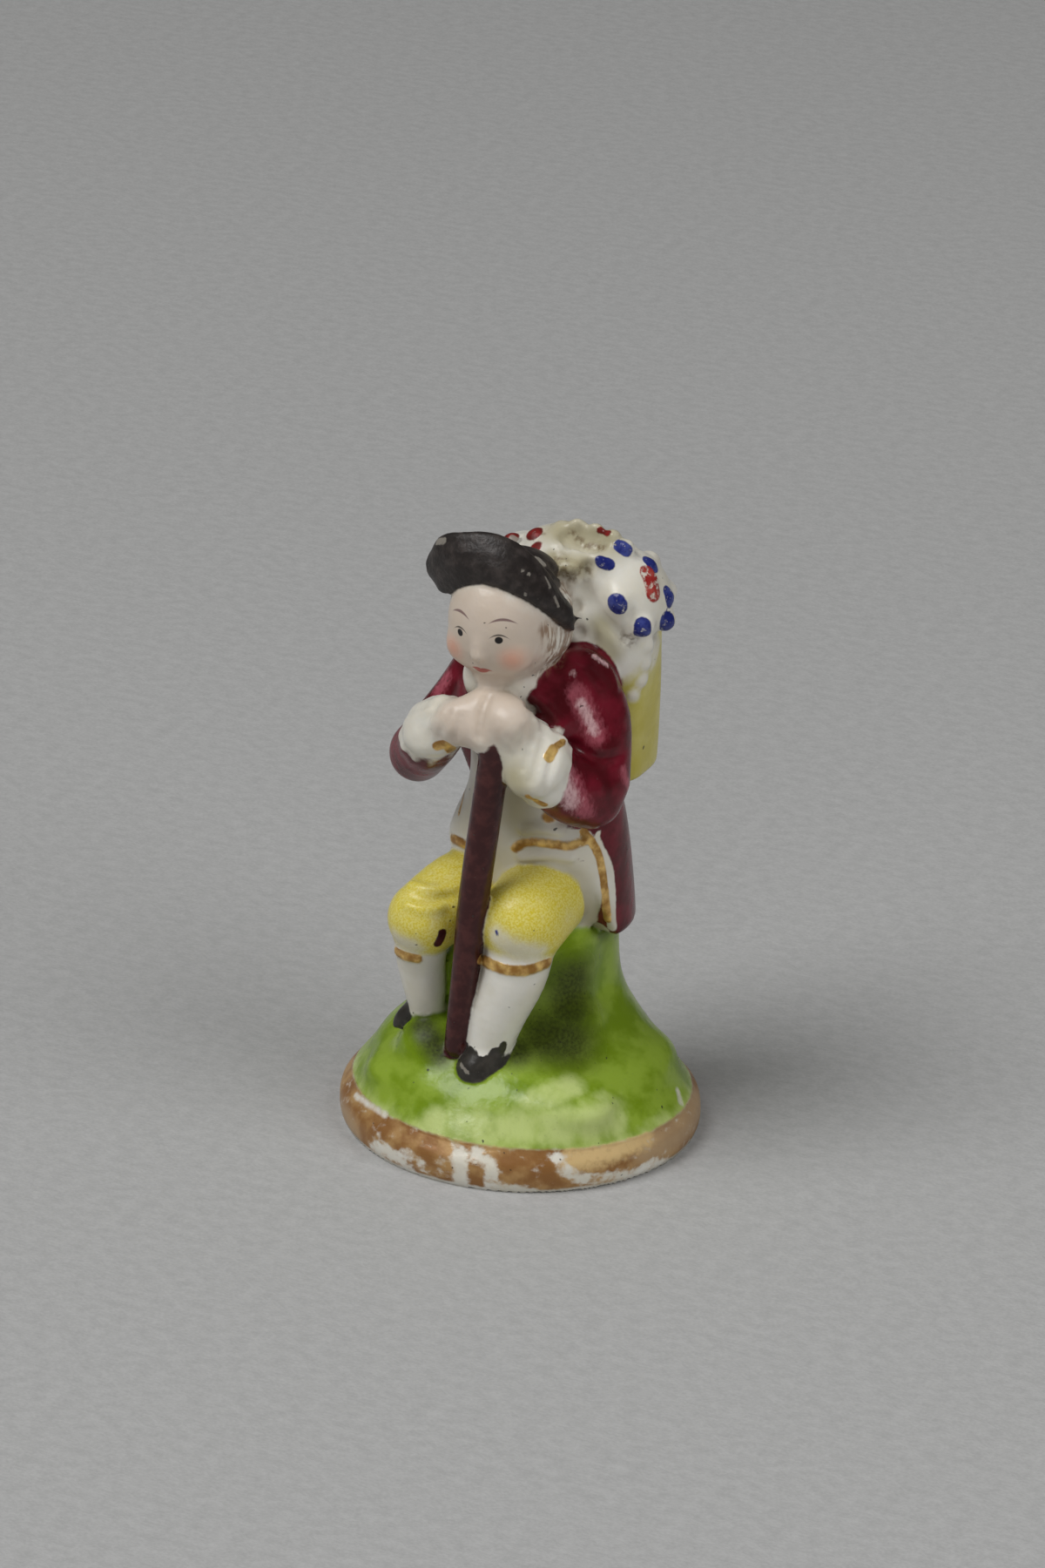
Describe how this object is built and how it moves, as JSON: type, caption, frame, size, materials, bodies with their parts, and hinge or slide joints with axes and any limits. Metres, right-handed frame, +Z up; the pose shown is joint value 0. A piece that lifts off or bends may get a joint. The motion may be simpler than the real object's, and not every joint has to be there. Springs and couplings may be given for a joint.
{
  "type": "porcelain traveler figurine",
  "caption": "Miniature glazed porcelain figure of a seated traveler leaning on a staff, with a laden basket on his back, on a green knoll with a gilt foot band.",
  "frame": {"origin": "centre of the underside of the oval foot", "axes": "+Z up, the man faces -Y, his left hand is on the +X side"},
  "size_m": [0.0168, 0.0154, 0.0297],
  "materials": {
    "painted_porcelain": "glazed, enamelled and gilt"
  },
  "bodies": {
    "root": {"traveler_figurine": "painted_porcelain"}
  },
  "joints": []
}
